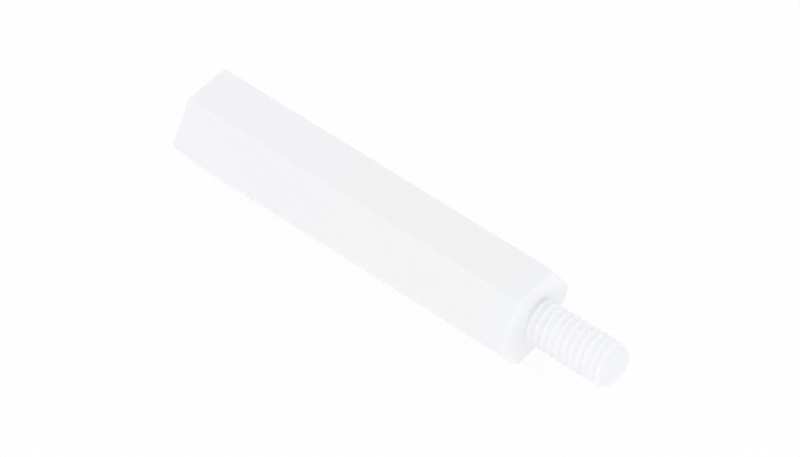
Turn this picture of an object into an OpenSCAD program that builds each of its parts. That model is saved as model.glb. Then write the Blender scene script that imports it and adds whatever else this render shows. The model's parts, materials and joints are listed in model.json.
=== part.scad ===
// Hex standoff moulded in one piece: a hexagonal body with a threaded stud at one end
// and a blind tapped hole in the other.
// The axis lies along X and the origin is on it, at the shoulder where the stud leaves the body.
// +X points along the stud, +Z is up, and the body lies on one of its flats.
// The fine thread is left off: the stud is drawn at its crests and so is the hole.

/* [Body] */
// Width of the hexagon across its flats
across_flats = 5.5; // [5:0.1:12]
// Length of the body, from its end face to the shoulder
body_l = 25; // [12:0.5:100]
// Radius of the arcs that soften the body's edges
edge_r = 0.15; // [0.05:0.01:0.3]

/* [Thread] */
// Nominal diameter of the thread on the stud and in the hole
thread_d = 3; // [2:0.5:3.5]
// Pitch of that thread
thread_pitch = 0.5; // [0.4:0.05:0.7]

/* [Stud] */
// Length of the stud, from the shoulder to its tip
stud_l = 6; // [3:0.5:20]
// How much narrower the stud's crests are than the nominal diameter
stud_allowance = 0.16; // [0:0.02:0.2]
// Length of the chamfer at the tip
tip_chamfer_l = 0.5; // [0.2:0.05:1]
// How far that chamfer cuts in from the crests
tip_chamfer_r = 0.3; // [0.1:0.05:0.6]

/* [Tapped hole] */
// Depth of the hole, from the end face to its floor
hole_depth = 10; // [4:0.5:11]
// How far the countersink at the mouth reaches beyond the nominal radius
mouth_reach = 0.1; // [0.05:0.05:0.3]

/* [Hidden] */
$fn = 96;

// The softening arcs cross the faces beside them at this angle, so that no two surfaces
// only touch where they meet.
crossing_angle = 5;

apothem = across_flats / 2;
// Distance from a softened face back to the centre of the arc beside it
arc_inset = edge_r * cos(crossing_angle);
// Distance from the axis to the centre of an arc on one of the six long edges
arc_centre_r = (apothem - arc_inset) / cos(30);
crest_d = thread_d - stud_allowance;
tip_d = crest_d - 2 * tip_chamfer_r;
// A metric thread's hole is the nominal diameter less one pitch, measured over its crests
hole_d = thread_d - thread_pitch;
mouth_d = thread_d + 2 * mouth_reach;
// A 45 degree countersink is as deep as it is wide
mouth_depth = (mouth_d - hole_d) / 2;
// How far a cutting or clipping shape runs past the body
over = 1;

// Turns a shape's Z axis to X, and its X axis to Y
module along_x() {
    rotate([90, 0, 90]) children();
}

// The hexagonal section with its corners softened
module hexagon_section() {
    intersection() {
        circle(d = across_flats / cos(30), $fn = 6);
        union() {
            for (turn = [0, 60, 120]) {
                rotate(turn) square([arc_centre_r, across_flats + over], center = true);
            }
            for (turn = [0:60:300]) {
                rotate(turn) translate([arc_centre_r, 0]) circle(edge_r);
            }
        }
    }
}

// A slab as long as the body, wider than one pair of flats, whose arcs soften the end
// edges of those two flats
module end_softening_slab() {
    inner_l = body_l - 2 * arc_inset;
    inner_w = across_flats - 2 * arc_inset;
    linear_extrude(2 * across_flats, center = true)
        intersection() {
            square([body_l, across_flats + 2 * over], center = true);
            union() {
                square([body_l, inner_w], center = true);
                square([inner_l, across_flats + 2 * over], center = true);
                for (x = [-1, 1], y = [-1, 1]) {
                    translate([x * inner_l / 2, y * inner_w / 2]) circle(edge_r);
                }
            }
        }
}

module hexagonal_body() {
    translate([-body_l / 2, 0, 0])
        intersection() {
            along_x() linear_extrude(body_l + over, center = true) hexagon_section();
            rotate([90, 0, 0]) end_softening_slab();
            rotate([150, 0, 0]) end_softening_slab();
            rotate([210, 0, 0]) end_softening_slab();
        }
}

// The stud starts inside the body, so that the two are one solid
module stud() {
    along_x() {
        translate([0, 0, -over]) cylinder(h = over + stud_l - tip_chamfer_l, d = crest_d);
        translate([0, 0, stud_l - tip_chamfer_l]) cylinder(h = tip_chamfer_l, d1 = crest_d, d2 = tip_d);
    }
}

// The hole and its countersink, cut from just outside the end face
module tapped_hole() {
    translate([-body_l, 0, 0])
        along_x() {
            translate([0, 0, -over]) cylinder(h = over + hole_depth, d = hole_d);
            translate([0, 0, -over]) cylinder(h = over + mouth_depth, d1 = mouth_d + 2 * over, d2 = hole_d);
        }
}

module standoff() {
    color("whitesmoke")
        difference() {
            union() {
                hexagonal_body();
                stud();
            }
            tapped_hole();
        }
}

standoff();
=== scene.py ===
import json
import math

import bmesh
import bpy
from mathutils import Matrix, Vector


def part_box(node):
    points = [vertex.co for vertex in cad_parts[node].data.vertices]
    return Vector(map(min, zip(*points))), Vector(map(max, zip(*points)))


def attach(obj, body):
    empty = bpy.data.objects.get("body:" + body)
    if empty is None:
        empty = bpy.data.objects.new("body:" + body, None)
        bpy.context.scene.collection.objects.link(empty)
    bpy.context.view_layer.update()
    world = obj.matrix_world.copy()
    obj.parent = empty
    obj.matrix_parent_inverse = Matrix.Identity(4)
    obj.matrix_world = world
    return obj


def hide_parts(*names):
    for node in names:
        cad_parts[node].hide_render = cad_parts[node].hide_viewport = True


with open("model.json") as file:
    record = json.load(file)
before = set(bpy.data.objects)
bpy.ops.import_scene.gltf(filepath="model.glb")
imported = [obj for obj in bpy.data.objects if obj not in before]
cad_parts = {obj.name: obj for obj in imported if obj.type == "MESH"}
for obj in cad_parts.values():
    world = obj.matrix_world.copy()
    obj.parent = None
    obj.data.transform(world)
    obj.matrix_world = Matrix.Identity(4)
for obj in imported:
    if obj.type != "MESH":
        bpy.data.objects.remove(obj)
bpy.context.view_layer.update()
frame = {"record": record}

bl_info = {
    "name": "Nylon hex standoff",
    "version": (1, 0, 0),
    "blender": (4, 5, 0),
    "location": "3D View > Sidebar > Standoff",
    "description": "Moulds a threaded hex standoff, and sets a plain studio round it",
    "category": "Add Mesh",
}

CAD_LOW, CAD_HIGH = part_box("standoff")
MOUNTS = {mount["name"]: mount for mount in frame["record"]["mounts"]}
MM = 0.001
STUD_D = 2 * MM * MOUNTS["stud"]["dims"]["r_mm"]
HOLE_D = 2 * MM * MOUNTS["tapped_hole"]["dims"]["r_mm"]
HOLE_END = MOUNTS["tapped_hole"]["pos_m"][0] + MM * MOUNTS["tapped_hole"]["dims"]["length_mm"] / 2

# How fine the skin is. A column runs along the part, and a row goes round it.
COLUMNS = 120
STUD_ROWS_PER_TURN = 20
HOLE_ROWS_PER_TURN = 14
ROUNDING_ROWS = 8
SIDE_ROWS = 12
FACE_ROWS = 8
WELD = 0.001 * MM
SHARP_ANGLE = math.radians(38)

# The outline bends by this much on each side of a corner, so by twice as much in all.
HALF_BEND = math.radians(30)
QUARTER_TURN = math.radians(90)
# The columns of a flat crowd towards its corners by this power.
CROWDING = 2.5

# The thread. A crest's flat land and the flank beside it are shares of half a pitch.
CREST_LAND = 0.16
FLANK = 0.68
CHAMFER_BLEND = 0.06 * MM
MOUTH_BLEND = 0.05 * MM
UNTHREADED_BOTTOM = 0.5 * MM
THREAD_FADE = 0.5 * MM

# Where each tint of the nylon and each patch of painted light and shade begins, and where it is full:
# along the axis, and the last one downwards.
HOLE_TINT = (-9.0 * MM, -24.0 * MM)
SHOULDER_TINT = (-2.4 * MM, -0.7 * MM)
# The shoulder face is paler than the body: a cooler tint, and painted light against the shade of the stud
# beside it.
FACE_TINT_AND_PAINTED_LIGHT = (-0.03 * MM, 0.0)
# The stud is paler than the body: the cooler tint of thinner nylon, and painted light against the shade of
# the shoulder and of its grooves.
STUD_TINT_AND_PAINTED_LIGHT = (0.0, 0.4 * MM)
# The tip is darker than the stud: painted shade against the light that falls on it.
TIP_PAINTED_SHADE = (5.4 * MM, 5.9 * MM)
# The underside is lighter: painted light, as if bounced up from the table.
UNDERSIDE_PAINTED_LIGHT = (0.0, -1.8 * MM)

# The moulded skin. Scales are in features to the metre.
CLOUD_SCALE = 420.0
RIPPLE_SCALE = 900.0
GRAIN_SCALE = 9000.0
RIPPLE_ROUGHNESS = 0.08
GRAIN_ROUGHNESS = 0.04
GRAIN_SHARE = 0.3
SKIN_DEPTH = 0.02 * MM
SKIN_STRENGTH = 0.35
NYLON_IOR = 1.53

# The studio.
FLOOR_HALF_WIDTH = 2.0
FLOOR_GAP = 0.002 * MM
FLOOR_WHITENESS = 0.9
LAMP_PLACE = Vector((0.40, -0.36, 0.12))
LAMP_WIDTH = 0.24
CAMERA_AIM = Vector((-10.406, 0.339, 0.020)) * MM
SENSOR_WIDTH = 36.0
NEAR_CLIP = 0.01


# ---------------------------------------------------------------- wiring


class Wire:
    """One output socket of a node tree; arithmetic on it adds Math nodes to that tree."""

    def __init__(self, board, socket):
        self.board = board
        self.socket = socket

    def out(self, name):
        """Another output of the same node."""
        return Wire(self.board, self.socket.node.outputs[name])

    def __add__(self, other):
        return self.board.maths("ADD", self, other)

    def __radd__(self, other):
        return self.board.maths("ADD", other, self)

    def __sub__(self, other):
        return self.board.maths("SUBTRACT", self, other)

    def __rsub__(self, other):
        return self.board.maths("SUBTRACT", other, self)

    def __mul__(self, other):
        return self.board.maths("MULTIPLY", self, other)

    def __rmul__(self, other):
        return self.board.maths("MULTIPLY", other, self)

    def __truediv__(self, other):
        return self.board.maths("DIVIDE", self, other)

    def __rtruediv__(self, other):
        return self.board.maths("DIVIDE", other, self)

    def __abs__(self):
        return self.board.maths("ABSOLUTE", self)


class Board:
    """A node tree that is being wired."""

    def __init__(self, tree):
        self.tree = tree

    def node(self, kind, settings=None, inputs=None):
        """Adds a node, sets it, gives its inputs values or wires, and returns its first output."""
        made = self.tree.nodes.new(kind)
        made.location = (180 * (len(self.tree.nodes) % 24), -220 * (len(self.tree.nodes) // 24))
        for name, value in (settings or {}).items():
            setattr(made, name, value)
        for key, value in (inputs or {}).items():
            self.plug(made, key, value)
        outputs = [socket for socket in made.outputs if socket.enabled]
        return Wire(self, outputs[0] if outputs else None)

    def plug(self, made, key, value):
        """Gives one input of a node a value, or joins one wire or several to it."""
        if isinstance(key, int):
            socket = made.inputs[key]
        else:
            socket = next(s for s in made.inputs if s.enabled and s.name == key)
        if isinstance(value, Wire):
            self.tree.links.new(value.socket, socket)
        elif isinstance(value, list):
            for wire in value:
                self.tree.links.new(wire.socket, socket)
        else:
            socket.default_value = value

    def maths(self, operation, *values):
        """One Math node on wires or numbers."""
        return self.node("ShaderNodeMath", {"operation": operation}, dict(enumerate(values)))

    def clamped(self, value, low=0.0, high=1.0):
        """A value held between two limits."""
        return self.node("ShaderNodeClamp", None, {"Value": value, "Min": low, "Max": high})

    def eased(self, value):
        """0 to 1 with a soft start and a soft end."""
        share = self.clamped(value)
        return share * share * (3 - 2 * share)

    def comes_in(self, place, start, full):
        """0 as far as the start, then easing up to 1 where it is full."""
        return self.eased((place - start) / (full - start))

    def noise(self, place, scale, detail, roughness):
        """Soft specks in space, about 0.5."""
        return self.node(
            "ShaderNodeTexNoise",
            {"noise_dimensions": "3D"},
            {"Vector": place, "Scale": scale, "Detail": detail, "Roughness": roughness},
        )


# ---------------------------------------------------------------- sizes, colours and studio


class StandoffSizes(bpy.types.PropertyGroup):
    across_flats: bpy.props.FloatProperty(
        name="Across flats",
        description="Width of the hexagon from flat to flat",
        default=CAD_HIGH.z - CAD_LOW.z,
        min=2 * MM,
        subtype="DISTANCE",
        unit="LENGTH",
        precision=5,
    )
    body_length: bpy.props.FloatProperty(
        name="Body length",
        description="Length of the hexagonal body, from the far end to the shoulder",
        default=-CAD_LOW.x,
        min=5 * MM,
        subtype="DISTANCE",
        unit="LENGTH",
        precision=5,
    )
    edge_radius: bpy.props.FloatProperty(
        name="Edge radius",
        description="Radius of the softened edges of the body",
        default=0.15 * MM,
        min=0.02 * MM,
        subtype="DISTANCE",
        unit="LENGTH",
        precision=5,
    )
    stud_length: bpy.props.FloatProperty(
        name="Stud length",
        description="Length of the threaded stud, from the shoulder to its tip",
        default=CAD_HIGH.x,
        min=2 * MM,
        subtype="DISTANCE",
        unit="LENGTH",
        precision=5,
    )
    stud_diameter: bpy.props.FloatProperty(
        name="Stud diameter",
        description="Diameter over the crests of the stud's thread",
        default=STUD_D,
        min=1 * MM,
        subtype="DISTANCE",
        unit="LENGTH",
        precision=5,
    )
    tip_chamfer_length: bpy.props.FloatProperty(
        name="Tip chamfer length",
        description="How far the lead-in chamfer reaches along the stud",
        default=0.5 * MM,
        min=0.05 * MM,
        subtype="DISTANCE",
        unit="LENGTH",
        precision=5,
    )
    tip_chamfer_depth: bpy.props.FloatProperty(
        name="Tip chamfer depth",
        description="How much the chamfer takes off the stud's radius at the tip",
        default=0.3 * MM,
        min=0.05 * MM,
        subtype="DISTANCE",
        unit="LENGTH",
        precision=5,
    )
    tip_rounding: bpy.props.FloatProperty(
        name="Tip rounding",
        description="Radius of the soft edge round the stud's end",
        default=0.25 * MM,
        min=0.01 * MM,
        subtype="DISTANCE",
        unit="LENGTH",
        precision=5,
    )
    hole_diameter: bpy.props.FloatProperty(
        name="Hole diameter",
        description="Diameter over the crests of the thread in the hole",
        default=HOLE_D,
        min=1 * MM,
        subtype="DISTANCE",
        unit="LENGTH",
        precision=5,
    )
    hole_depth: bpy.props.FloatProperty(
        name="Hole depth",
        description="Depth of the tapped hole, from the far end",
        default=HOLE_END - CAD_LOW.x,
        min=1 * MM,
        subtype="DISTANCE",
        unit="LENGTH",
        precision=5,
    )
    mouth_diameter: bpy.props.FloatProperty(
        name="Mouth diameter",
        description="Diameter of the hole's countersunk mouth",
        default=HOLE_D + 0.7 * MM,
        min=1 * MM,
        subtype="DISTANCE",
        unit="LENGTH",
        precision=5,
    )
    pitch: bpy.props.FloatProperty(
        name="Thread pitch",
        description="Distance from one thread crest to the next",
        default=0.5 * MM,
        min=0.2 * MM,
        subtype="DISTANCE",
        unit="LENGTH",
        precision=5,
    )
    thread_depth: bpy.props.FloatProperty(
        name="Thread depth",
        description="Depth of the thread's grooves",
        default=0.22 * MM,
        min=0.05 * MM,
        subtype="DISTANCE",
        unit="LENGTH",
        precision=5,
    )
    first_crest: bpy.props.FloatProperty(
        name="First crest",
        description="How far beyond the shoulder the stud's first crest stands, on its +Y side",
        default=0.242 * MM,
        subtype="DISTANCE",
        unit="LENGTH",
        precision=5,
    )


class NylonFinish(bpy.types.PropertyGroup):
    body_colour: bpy.props.FloatVectorProperty(
        name="Body colour",
        description="Colour of the nylon where the body is solid",
        subtype="COLOR",
        size=3,
        default=(0.905, 0.904, 0.912),
        min=0.0,
        max=1.0,
    )
    wall_colour: bpy.props.FloatVectorProperty(
        name="Wall colour",
        description="Slightly cooler colour of the nylon round the tapped hole",
        subtype="COLOR",
        size=3,
        default=(0.907, 0.902, 0.950),
        min=0.0,
        max=1.0,
    )
    shoulder_colour: bpy.props.FloatVectorProperty(
        name="Shoulder colour",
        description="Slightly cooler colour of the nylon where the body nears the shoulder",
        subtype="COLOR",
        size=3,
        default=(0.898, 0.906, 0.944),
        min=0.0,
        max=1.0,
    )
    # Paler than the body: a cooler tint, and painted light against the shade of the stud beside it.
    face_tint_and_painted_light: bpy.props.FloatVectorProperty(
        name="Face colour",
        description="Cool, pale colour of the nylon on the shoulder's face",
        subtype="COLOR",
        size=3,
        default=(0.942, 0.949, 0.975),
        min=0.0,
        max=1.0,
    )
    # Paler than the body: the cooler tint of thinner nylon, and painted light against the shade of the
    # shoulder and of its grooves.
    stud_tint_and_painted_light: bpy.props.FloatVectorProperty(
        name="Stud colour",
        description="Cool, clearer colour of the nylon in the stud",
        subtype="COLOR",
        size=3,
        default=(0.934, 0.944, 0.990),
        min=0.0,
        max=1.0,
    )
    # Darker than the stud: painted shade against the light that falls on the tip.
    tip_painted_shade: bpy.props.FloatVectorProperty(
        name="Tip colour",
        description="Slightly duller colour of the nylon at the stud's end",
        subtype="COLOR",
        size=3,
        default=(0.845, 0.856, 0.908),
        min=0.0,
        max=1.0,
    )
    # Lighter towards the table: painted light, as if bounced up from it.
    underside_painted_light: bpy.props.FloatVectorProperty(
        name="Underside colour",
        description="Clearer colour that the nylon takes on towards the table",
        subtype="COLOR",
        size=3,
        default=(0.985, 0.987, 0.996),
        min=0.0,
        max=1.0,
    )
    roughness: bpy.props.FloatProperty(
        name="Roughness",
        description="Roughness of the satin moulded skin",
        default=0.33,
        min=0.0,
        max=1.0,
        subtype="FACTOR",
    )
    cloudiness: bpy.props.FloatProperty(
        name="Cloudiness",
        description="How strongly the milky colour varies from place to place",
        default=0.02,
        min=0.0,
        max=0.2,
    )
    body_share: bpy.props.FloatProperty(
        name="Body translucency",
        description="Share of the light that goes into the nylon of the body and comes out beside it",
        default=0.1,
        min=0.0,
        max=1.0,
        subtype="FACTOR",
    )
    body_reach: bpy.props.FloatProperty(
        name="Body reach",
        description="How far light travels inside the nylon of the body",
        default=0.4 * MM,
        min=0.0,
        subtype="DISTANCE",
        unit="LENGTH",
        precision=5,
    )
    stud_share: bpy.props.FloatProperty(
        name="Stud translucency",
        description="Share of the light that goes into the nylon of the stud",
        default=0.6,
        min=0.0,
        max=1.0,
        subtype="FACTOR",
    )
    stud_reach: bpy.props.FloatProperty(
        name="Stud reach",
        description="How far light travels inside the nylon of the stud",
        default=2.0 * MM,
        min=0.0,
        subtype="DISTANCE",
        unit="LENGTH",
        precision=5,
    )


class StudioSetting(bpy.types.PropertyGroup):
    floor_colour: bpy.props.FloatVectorProperty(
        name="Floor colour",
        description="Colour of the studio floor",
        subtype="COLOR",
        size=3,
        default=(0.98, 0.98, 0.98),
        min=0.0,
        max=1.0,
    )
    horizon_light: bpy.props.FloatProperty(
        name="Horizon light",
        description="Strength of the surrounding light, level with the table",
        default=1.03,
        min=0.0,
    )
    overhead_light: bpy.props.FloatProperty(
        name="Overhead light",
        description="Strength of the surrounding light, straight overhead",
        default=0.923,
        min=0.0,
    )
    lamp_strength: bpy.props.FloatProperty(
        name="Lamp light",
        description="Brightness of the soft lamp's own face",
        default=1.0,
        min=0.0,
    )
    azimuth: bpy.props.FloatProperty(
        name="Camera azimuth",
        description="Direction that the camera looks from, turned from the -Y side towards +X",
        default=math.radians(39.73),
        subtype="ANGLE",
    )
    elevation: bpy.props.FloatProperty(
        name="Camera elevation",
        description="Height angle that the camera looks down from",
        default=math.radians(48.17),
        subtype="ANGLE",
    )
    distance: bpy.props.FloatProperty(
        name="Camera distance",
        description="Distance from the camera to the point that it looks at",
        default=323.6 * MM,
        subtype="DISTANCE",
        unit="LENGTH",
    )
    lens: bpy.props.FloatProperty(
        name="Lens",
        description="Focal length of the camera, in millimetres",
        default=249.86,
        min=10.0,
    )


# ---------------------------------------------------------------- moulded shape


def grid(board, columns, rows):
    """A flat grid, with the column's share of a turn and the row's number as fields to shape it by."""
    flat = board.node(
        "GeometryNodeMeshGrid",
        None,
        {"Size X": columns, "Size Y": rows, "Vertices X": columns + 1, "Vertices Y": rows + 1},
    )
    place = board.node("ShaderNodeSeparateXYZ", None, {0: board.node("GeometryNodeInputPosition")})
    column = board.maths("ROUND", place.out("X") + columns / 2)
    row = board.maths("ROUND", place.out("Y") + rows / 2)
    return flat, column / columns, row


def shaped(board, flat, x, y, z):
    """The grid with its points moved to x, y and z."""
    place = board.node("ShaderNodeCombineXYZ", None, {"X": x, "Y": y, "Z": z})
    return board.node("GeometryNodeSetPosition", None, {"Geometry": flat, "Position": place})


def circle_point(board, turn, radius):
    """Y and Z of a point at that share of a turn, from +Y towards +Z."""
    angle = turn * math.tau
    return radius * board.maths("COSINE", angle), radius * board.maths("SINE", angle)


def hexagon_point(board, turn, apothem, edge_radius, inset):
    """Y and Z of a point on the softened hexagon's outline, drawn in by inset.

    Half of each sixth of a turn goes round its corner, and the rest runs along the flats beside it.
    """
    sixth = turn * 6 + 0.5
    corner = board.maths("FLOOR", sixth)
    across = (sixth - corner) * 2 - 1
    side = board.maths("SIGN", across)
    lean = board.clamped(across * 2, -1, 1) * HALF_BEND
    along = board.maths("POWER", board.clamped(abs(across) * 2 - 1), CROWDING)
    inner = apothem - edge_radius
    half_side = inner * math.tan(HALF_BEND)
    out = inner / math.cos(HALF_BEND) - along * half_side * math.sin(HALF_BEND)
    over = side * along * half_side * math.cos(HALF_BEND)
    skin = edge_radius - inset
    out = out + skin * board.maths("COSINE", lean)
    over = over + skin * board.maths("SINE", lean)
    turned = corner * (2 * HALF_BEND)
    cosine = board.maths("COSINE", turned)
    sine = board.maths("SINE", turned)
    return out * cosine - over * sine, out * sine + over * cosine


def face_edge(board, turn, size):
    """Y and Z of a point on the edge of an end face, where the body's softened end edge meets it."""
    return hexagon_point(board, turn, size["Across flats"] / 2, size["Edge radius"], size["Edge radius"])


def groove(board, x, turn, crest, pitch):
    """0 on a right-hand thread's crests and 1 in its grooves, at x and that share of a turn."""
    turns = (x - crest) / pitch - turn
    away = abs(turns - board.maths("ROUND", turns)) * 2
    return board.eased((away - CREST_LAND) / FLANK)


def stud_radius(board, x, turn, size):
    """The stud's radius: the thread, cut by the lead-in chamfer."""
    depth = size["Thread depth"] * groove(board, x, turn, size["First crest"], size["Thread pitch"])
    thread = size["Stud diameter"] / 2 - depth
    slope = size["Tip chamfer depth"] / size["Tip chamfer length"]
    tip = size["Stud diameter"] / 2 - size["Tip chamfer depth"]
    chamfer = tip + (size["Stud length"] - x) * slope
    return board.maths("SMOOTH_MIN", thread, chamfer, CHAMFER_BLEND)


def hole_radius(board, x, turn, size):
    """The hole's radius: the thread, which fades out before the bottom, opened by the countersink."""
    depth = size["Thread depth"] * groove(board, x, turn, size["First crest"], size["Thread pitch"])
    bottom = size["Hole depth"] - size["Body length"]
    fade = board.eased((bottom - UNTHREADED_BOTTOM - x) / THREAD_FADE)
    thread = size["Hole diameter"] / 2 + depth * fade
    mouth = size["Mouth diameter"] / 2 - (x + size["Body length"])
    return board.maths("SMOOTH_MAX", thread, mouth, MOUTH_BLEND)


def hole_bottom(board, size):
    """The flat disc at the bottom of the hole."""
    flat, turn, row = grid(board, COLUMNS, FACE_ROWS)
    x = size["Hole depth"] - size["Body length"]
    share = row / FACE_ROWS
    y, z = circle_point(board, turn, share * hole_radius(board, x, turn, size))
    return shaped(board, flat, x, y, z)


def hole_wall(board, size):
    """The tapped wall, from the bottom to the mouth. Its rows lean with the thread."""
    near = size["Hole depth"] - size["Body length"]
    far = -1 * size["Body length"]
    pitch = size["Thread pitch"]
    start = size["First crest"] + pitch * board.maths("CEIL", (near - size["First crest"]) / pitch)
    step = pitch / HOLE_ROWS_PER_TURN
    rows = board.maths("CEIL", (start - far + pitch) / step)
    flat, turn, row = grid(board, COLUMNS, rows)
    x = board.clamped(start - step * row + pitch * turn, far, near)
    y, z = circle_point(board, turn, hole_radius(board, x, turn, size))
    return shaped(board, flat, x, y, z)


def end_face(board, size):
    """The flat far end, from the hole's mouth out to the hexagon."""
    flat, turn, row = grid(board, COLUMNS, FACE_ROWS)
    x = -1 * size["Body length"]
    left = 1 - row / FACE_ROWS
    share = 1 - left * left
    y_in, z_in = circle_point(board, turn, hole_radius(board, x, turn, size))
    y_out, z_out = face_edge(board, turn, size)
    return shaped(board, flat, x, y_in + (y_out - y_in) * share, z_in + (z_out - z_in) * share)


def body_sides(board, size):
    """The six flats and their softened edges and ends. Along the flats, rows crowd towards both ends."""
    rows = SIDE_ROWS + 2 * ROUNDING_ROWS
    flat, turn, row = grid(board, COLUMNS, rows)
    radius = size["Edge radius"]
    far = board.clamped(1 - row / ROUNDING_ROWS) * QUARTER_TURN
    near = board.clamped((row - (rows - ROUNDING_ROWS)) / ROUNDING_ROWS) * QUARTER_TURN
    run = board.clamped((row - ROUNDING_ROWS) / SIDE_ROWS)
    run = run * run * run * (run * (run * 6 - 15) + 10)
    x = (size["Body length"] - 2 * radius) * run + radius - size["Body length"]
    x = x + radius * (board.maths("SINE", near) - board.maths("SINE", far))
    inset = radius * (2 - board.maths("COSINE", near) - board.maths("COSINE", far))
    y, z = hexagon_point(board, turn, size["Across flats"] / 2, radius, inset)
    return shaped(board, flat, x, y, z)


def shoulder_face(board, size):
    """The flat shoulder, from the hexagon in to the root of the stud."""
    flat, turn, row = grid(board, COLUMNS, FACE_ROWS)
    share = (row / FACE_ROWS) * (row / FACE_ROWS)
    y_out, z_out = face_edge(board, turn, size)
    y_in, z_in = circle_point(board, turn, stud_radius(board, 0.0, turn, size))
    return shaped(board, flat, 0.0, y_out + (y_in - y_out) * share, z_out + (z_in - z_out) * share)


def tip_start(board, size):
    """Where the chamfer ends and the rounding of the stud's end begins, and the chamfer's angle there."""
    angle = board.maths("ARCTANGENT", size["Tip chamfer depth"] / size["Tip chamfer length"])
    return size["Stud length"] - size["Tip rounding"] * (1 - board.maths("SINE", angle)), angle


def stud_thread(board, size):
    """The stud's threaded wall, from the shoulder to its rounded end. Its rows lean with the thread."""
    end, _ = tip_start(board, size)
    pitch = size["Thread pitch"]
    start = size["First crest"] - pitch * (board.maths("CEIL", size["First crest"] / pitch) + 1)
    step = pitch / STUD_ROWS_PER_TURN
    rows = board.maths("CEIL", (end - start) / step)
    flat, turn, row = grid(board, COLUMNS, rows)
    x = board.clamped(start + step * row + pitch * turn, 0.0, end)
    y, z = circle_point(board, turn, stud_radius(board, x, turn, size))
    return shaped(board, flat, x, y, z)


def stud_tip(board, size):
    """The rounded edge and the flat end of the stud."""
    start, lean = tip_start(board, size)
    flat, turn, row = grid(board, COLUMNS, ROUNDING_ROWS + FACE_ROWS)
    angle = lean + (QUARTER_TURN - lean) * board.clamped(row / ROUNDING_ROWS)
    run = board.clamped((row - ROUNDING_ROWS) / FACE_ROWS)
    left = 1 - run * run
    radius = size["Tip rounding"]
    x = start + radius * (board.maths("SINE", angle) - board.maths("SINE", lean))
    rim = stud_radius(board, start, turn, size)
    drawn_in = radius * (board.maths("COSINE", lean) - board.maths("COSINE", angle))
    y, z = circle_point(board, turn, (rim - drawn_in) * left)
    return shaped(board, flat, x, y, z)


def standoff_tree(material):
    """The node tree that moulds the whole standoff as one closed skin."""
    tree = bpy.data.node_groups.new("hex_standoff", "GeometryNodeTree")
    tree.interface.new_socket(name="Geometry", in_out="OUTPUT", socket_type="NodeSocketGeometry")
    board = Board(tree)
    names = []
    for key in StandoffSizes.__annotations__:
        prop = StandoffSizes.bl_rna.properties[key]
        socket = tree.interface.new_socket(prop.name, in_out="INPUT", socket_type="NodeSocketFloat")
        socket.subtype = "DISTANCE"
        socket.default_value = prop.default
        names.append(prop.name)
    given = board.node("NodeGroupInput")
    size = {name: given.out(name) for name in names}
    skins = [
        make(board, size)
        for make in (
            hole_bottom,
            hole_wall,
            end_face,
            body_sides,
            shoulder_face,
            stud_thread,
            stud_tip,
        )
    ]
    joined = board.node("GeometryNodeJoinGeometry", None, {"Geometry": skins})
    welded = board.node("GeometryNodeMergeByDistance", None, {"Geometry": joined, "Distance": WELD})
    smooth = board.node("GeometryNodeSetShadeSmooth", {"domain": "FACE"}, {"Geometry": welded})
    angle = board.node("GeometryNodeInputMeshEdgeAngle")
    sharp = board.maths("GREATER_THAN", angle, SHARP_ANGLE)
    edged = board.node(
        "GeometryNodeSetShadeSmooth",
        {"domain": "EDGE"},
        {"Geometry": smooth, "Selection": sharp, "Shade Smooth": False},
    )
    real = board.node("GeometryNodeRealizeInstances", None, {"Geometry": edged})
    finished = board.node("GeometryNodeSetMaterial", None, {"Geometry": real, "Material": material})
    board.node("NodeGroupOutput", None, {"Geometry": finished})
    return tree


def closed_volume(mesh):
    """The volume inside a mesh, or an error if it isn't one closed skin with its faces outward."""
    shape = bmesh.new()
    shape.from_mesh(mesh)
    open_edges = sum(1 for edge in shape.edges if len(edge.link_faces) != 2)
    volume = shape.calc_volume(signed=True)
    shape.free()
    if open_edges:
        raise RuntimeError(f"the moulded skin has {open_edges} edges that don't join two faces")
    if volume <= 0:
        raise RuntimeError("the moulded skin is inside out")
    return volume


# ---------------------------------------------------------------- finishes


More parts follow.
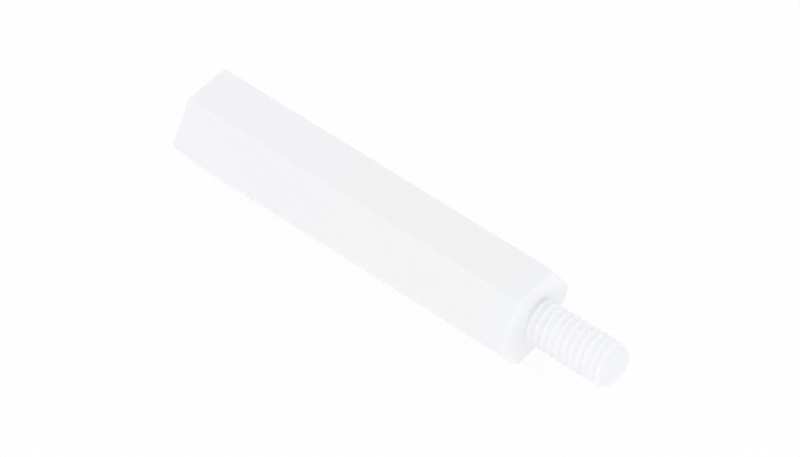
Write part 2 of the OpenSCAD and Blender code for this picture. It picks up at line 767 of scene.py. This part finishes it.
def natural_nylon(finish):
    """Milky, slightly translucent nylon with a satin moulded skin, cooler where it is thinner; painted
    light makes the shoulder face, the stud and the underside paler, and painted shade darkens the tip.
    """
    material = bpy.data.materials.new("natural_nylon")
    material.use_nodes = True
    material.node_tree.nodes.clear()
    board = Board(material.node_tree)
    place = board.node("ShaderNodeTexCoord").out("Object")
    x = board.node("ShaderNodeSeparateXYZ", None, {0: place})
    z = x.out("Z")
    cloud = board.noise(place, CLOUD_SCALE, detail=3.0, roughness=0.5)
    grain = board.noise(place, GRAIN_SCALE, detail=2.0, roughness=0.55)
    ripple = board.noise(place, RIPPLE_SCALE, detail=2.0, roughness=0.5)
    on_stud = board.comes_in(x, *STUD_TINT_AND_PAINTED_LIGHT)
    colour = (*finish.body_colour, 1.0)
    # The face, stud and underside layers carry painted light, and the tip layer carries painted shade.
    for share, tint in (
        (board.comes_in(x, *HOLE_TINT), finish.wall_colour),
        (board.comes_in(x, *SHOULDER_TINT), finish.shoulder_colour),
        (board.comes_in(x, *FACE_TINT_AND_PAINTED_LIGHT), finish.face_tint_and_painted_light),
        (on_stud, finish.stud_tint_and_painted_light),
        (board.comes_in(x, *TIP_PAINTED_SHADE), finish.tip_painted_shade),
        (board.comes_in(z, *UNDERSIDE_PAINTED_LIGHT), finish.underside_painted_light),
    ):
        colour = board.node(
            "ShaderNodeMix",
            {"data_type": "RGBA"},
            {"Factor": share, "A": colour, "B": (*tint, 1.0)},
        )
    shade = 1 + (cloud - 0.5) * finish.cloudiness
    colour = board.node("ShaderNodeVectorMath", {"operation": "SCALE"}, {"Vector": colour, "Scale": shade})
    roughness = finish.roughness + (ripple - 0.5) * RIPPLE_ROUGHNESS + (grain - 0.5) * GRAIN_ROUGHNESS
    height = grain * GRAIN_SHARE + ripple * (1 - GRAIN_SHARE)
    bump = board.node(
        "ShaderNodeBump",
        None,
        {"Strength": SKIN_STRENGTH, "Distance": SKIN_DEPTH, "Height": height},
    )
    body = nylon_skin(board, colour, roughness, bump, finish.body_share, finish.body_reach)
    stud = nylon_skin(board, colour, roughness, bump, finish.stud_share, finish.stud_reach)
    skin = board.node("ShaderNodeMixShader", None, {0: on_stud, 1: body, 2: stud})
    board.node("ShaderNodeOutputMaterial", None, {"Surface": skin})
    return material


def nylon_skin(board, colour, roughness, bump, share, reach):
    """A satin skin over nylon. A share of the light goes in, and comes out about that far away."""
    return board.node(
        "ShaderNodeBsdfPrincipled",
        {"subsurface_method": "RANDOM_WALK"},
        {
            "Base Color": colour,
            "Roughness": roughness,
            "IOR": NYLON_IOR,
            "Subsurface Weight": share,
            "Subsurface Radius": (1.0, 1.0, 1.0),
            "Subsurface Scale": reach,
            "Normal": bump,
        },
    )


def seen_directly(board):
    """1 for what is seen directly or in a gloss, 0 for light on its way to the object."""
    path = board.node("ShaderNodeLightPath")
    seen = board.maths("MAXIMUM", path.out("Is Camera Ray"), path.out("Is Glossy Ray"))
    return board.maths("MAXIMUM", seen, path.out("Is Transmission Ray"))


def pale_floor(setting):
    """A pale matt floor that looks white, and still takes the object's shadow."""
    material = bpy.data.materials.new("pale_floor")
    material.use_nodes = True
    material.node_tree.nodes.clear()
    board = Board(material.node_tree)
    matt = board.node("ShaderNodeBsdfDiffuse", None, {"Color": (*setting.floor_colour, 1.0)})
    white = board.node("ShaderNodeEmission", None, {"Color": (1.0, 1.0, 1.0, 1.0), "Strength": 1.0})
    whiteness = seen_directly(board) * FLOOR_WHITENESS
    surface = board.node("ShaderNodeMixShader", None, {0: whiteness, 1: matt, 2: white})
    board.node("ShaderNodeOutputMaterial", None, {"Surface": surface})
    return material


def even_sky(setting):
    """Even white light from all round; it looks plain white where it is seen directly."""
    world = bpy.data.worlds.new("even_sky")
    world.use_nodes = True
    world.node_tree.nodes.clear()
    board = Board(world.node_tree)
    direction = board.node("ShaderNodeTexCoord").out("Generated")
    up = board.node("ShaderNodeSeparateXYZ", None, {0: direction}).out("Z")
    lit = setting.horizon_light + (setting.overhead_light - setting.horizon_light) * abs(up)
    strength = lit + seen_directly(board) * (1 - lit)
    sky = board.node("ShaderNodeBackground", None, {"Color": (1.0, 1.0, 1.0, 1.0), "Strength": strength})
    board.node("ShaderNodeOutputWorld", None, {"Surface": sky})
    bpy.context.scene.world = world


# ---------------------------------------------------------------- operators


class STANDOFF_OT_mould(bpy.types.Operator):
    """Moulds the standoff as one closed piece, and puts it in the place of its plain solid"""

    bl_idname = "standoff.mould"
    bl_label = "Mould the standoff"

    def execute(self, context):
        tree = standoff_tree(natural_nylon(context.scene.standoff_finish))
        piece = bpy.data.objects.new("moulded_standoff", bpy.data.meshes.new("moulded_standoff"))
        context.scene.collection.objects.link(piece)
        shaping = piece.modifiers.new("shape", "NODES")
        shaping.node_group = tree
        sizes = context.scene.standoff_sizes
        sockets = {item.name: item.identifier for item in tree.interface.items_tree}
        for key in StandoffSizes.__annotations__:
            shaping[sockets[sizes.bl_rna.properties[key].name]] = getattr(sizes, key)
        context.view_layer.update()
        evaluated = piece.evaluated_get(context.evaluated_depsgraph_get())
        mesh = bpy.data.meshes.new_from_object(evaluated)
        piece.modifiers.remove(shaping)
        piece.data = mesh
        mesh.name = "moulded_standoff"
        volume = closed_volume(mesh)
        print(f"moulded standoff: {len(mesh.polygons)} faces, {volume * 1e9:.1f} cubic millimetres")
        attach(piece, "root")
        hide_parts("standoff")
        return {"FINISHED"}


class STANDOFF_OT_studio(bpy.types.Operator):
    """Sets the floor, the soft lamp and the camera round the standoff"""

    bl_idname = "standoff.studio"
    bl_label = "Set the studio"

    def execute(self, context):
        setting = context.scene.standoff_studio
        self.lay_floor(context, setting)
        even_sky(setting)
        self.hang_lamp(context, setting)
        self.set_camera(context, setting)
        context.scene.view_settings.view_transform = "Standard"
        return {"FINISHED"}

    def lay_floor(self, context, setting):
        """A wide square floor, a hair below the flat that the part lies on."""
        half = FLOOR_HALF_WIDTH
        level = CAD_LOW.z - FLOOR_GAP
        corners = [(-half, -half, level), (half, -half, level), (half, half, level), (-half, half, level)]
        mesh = bpy.data.meshes.new("floor")
        mesh.from_pydata(corners, [], [(0, 1, 2, 3)])
        mesh.materials.append(pale_floor(setting))
        floor = bpy.data.objects.new("floor", mesh)
        context.scene.collection.objects.link(floor)

    def hang_lamp(self, context, setting):
        """A square soft lamp that faces the middle of the part, and shows in no gloss."""
        light = bpy.data.lights.new("lamp", "AREA")
        light.shape = "SQUARE"
        light.size = LAMP_WIDTH
        light.energy = setting.lamp_strength * math.pi * LAMP_WIDTH * LAMP_WIDTH
        lamp = bpy.data.objects.new("lamp", light)
        middle = (CAD_LOW + CAD_HIGH) / 2
        facing = (middle - LAMP_PLACE).to_track_quat("-Z", "Y")
        lamp.matrix_world = Matrix.Translation(LAMP_PLACE) @ facing.to_matrix().to_4x4()
        lamp.visible_camera = False
        lamp.visible_glossy = False
        context.scene.collection.objects.link(lamp)

    def set_camera(self, context, setting):
        """A long lens on the part, from above its stud and its -Y side."""
        turn = setting.azimuth
        rise = setting.elevation
        level = math.cos(rise)
        back = Vector((math.sin(turn) * level, -math.cos(turn) * level, math.sin(rise)))
        right = Vector((math.cos(turn), math.sin(turn), 0.0))
        up = back.cross(right)
        view = Matrix((right, up, back)).transposed().to_4x4()
        view.translation = CAMERA_AIM + back * setting.distance
        lens = bpy.data.cameras.new("camera")
        lens.lens = setting.lens
        lens.sensor_width = SENSOR_WIDTH
        lens.clip_start = NEAR_CLIP
        lens.dof.use_dof = False
        camera = bpy.data.objects.new("camera", lens)
        camera.matrix_world = view
        context.scene.collection.objects.link(camera)
        context.scene.camera = camera


class STANDOFF_PT_panel(bpy.types.Panel):
    """Sizes, finish and studio of the standoff"""

    bl_idname = "STANDOFF_PT_panel"
    bl_label = "Hex standoff"
    bl_space_type = "VIEW_3D"
    bl_region_type = "UI"
    bl_category = "Standoff"

    def draw(self, context):
        scene = context.scene
        for title, group, operator in (
            ("Sizes", scene.standoff_sizes, STANDOFF_OT_mould),
            ("Finish", scene.standoff_finish, None),
            ("Studio", scene.standoff_studio, STANDOFF_OT_studio),
        ):
            box = self.layout.box()
            box.label(text=title)
            for key in type(group).__annotations__:
                box.prop(group, key)
            if operator:
                box.operator(operator.bl_idname)


CLASSES = (
    StandoffSizes,
    NylonFinish,
    StudioSetting,
    STANDOFF_OT_mould,
    STANDOFF_OT_studio,
    STANDOFF_PT_panel,
)


def register():
    for entry in CLASSES:
        bpy.utils.register_class(entry)
    bpy.types.Scene.standoff_sizes = bpy.props.PointerProperty(type=StandoffSizes)
    bpy.types.Scene.standoff_finish = bpy.props.PointerProperty(type=NylonFinish)
    bpy.types.Scene.standoff_studio = bpy.props.PointerProperty(type=StudioSetting)


def unregister():
    del bpy.types.Scene.standoff_studio
    del bpy.types.Scene.standoff_finish
    del bpy.types.Scene.standoff_sizes
    for entry in reversed(CLASSES):
        bpy.utils.unregister_class(entry)


def main():
    register()
    bpy.ops.standoff.mould()
    bpy.ops.standoff.studio()


if __name__ == "__main__":
    main()
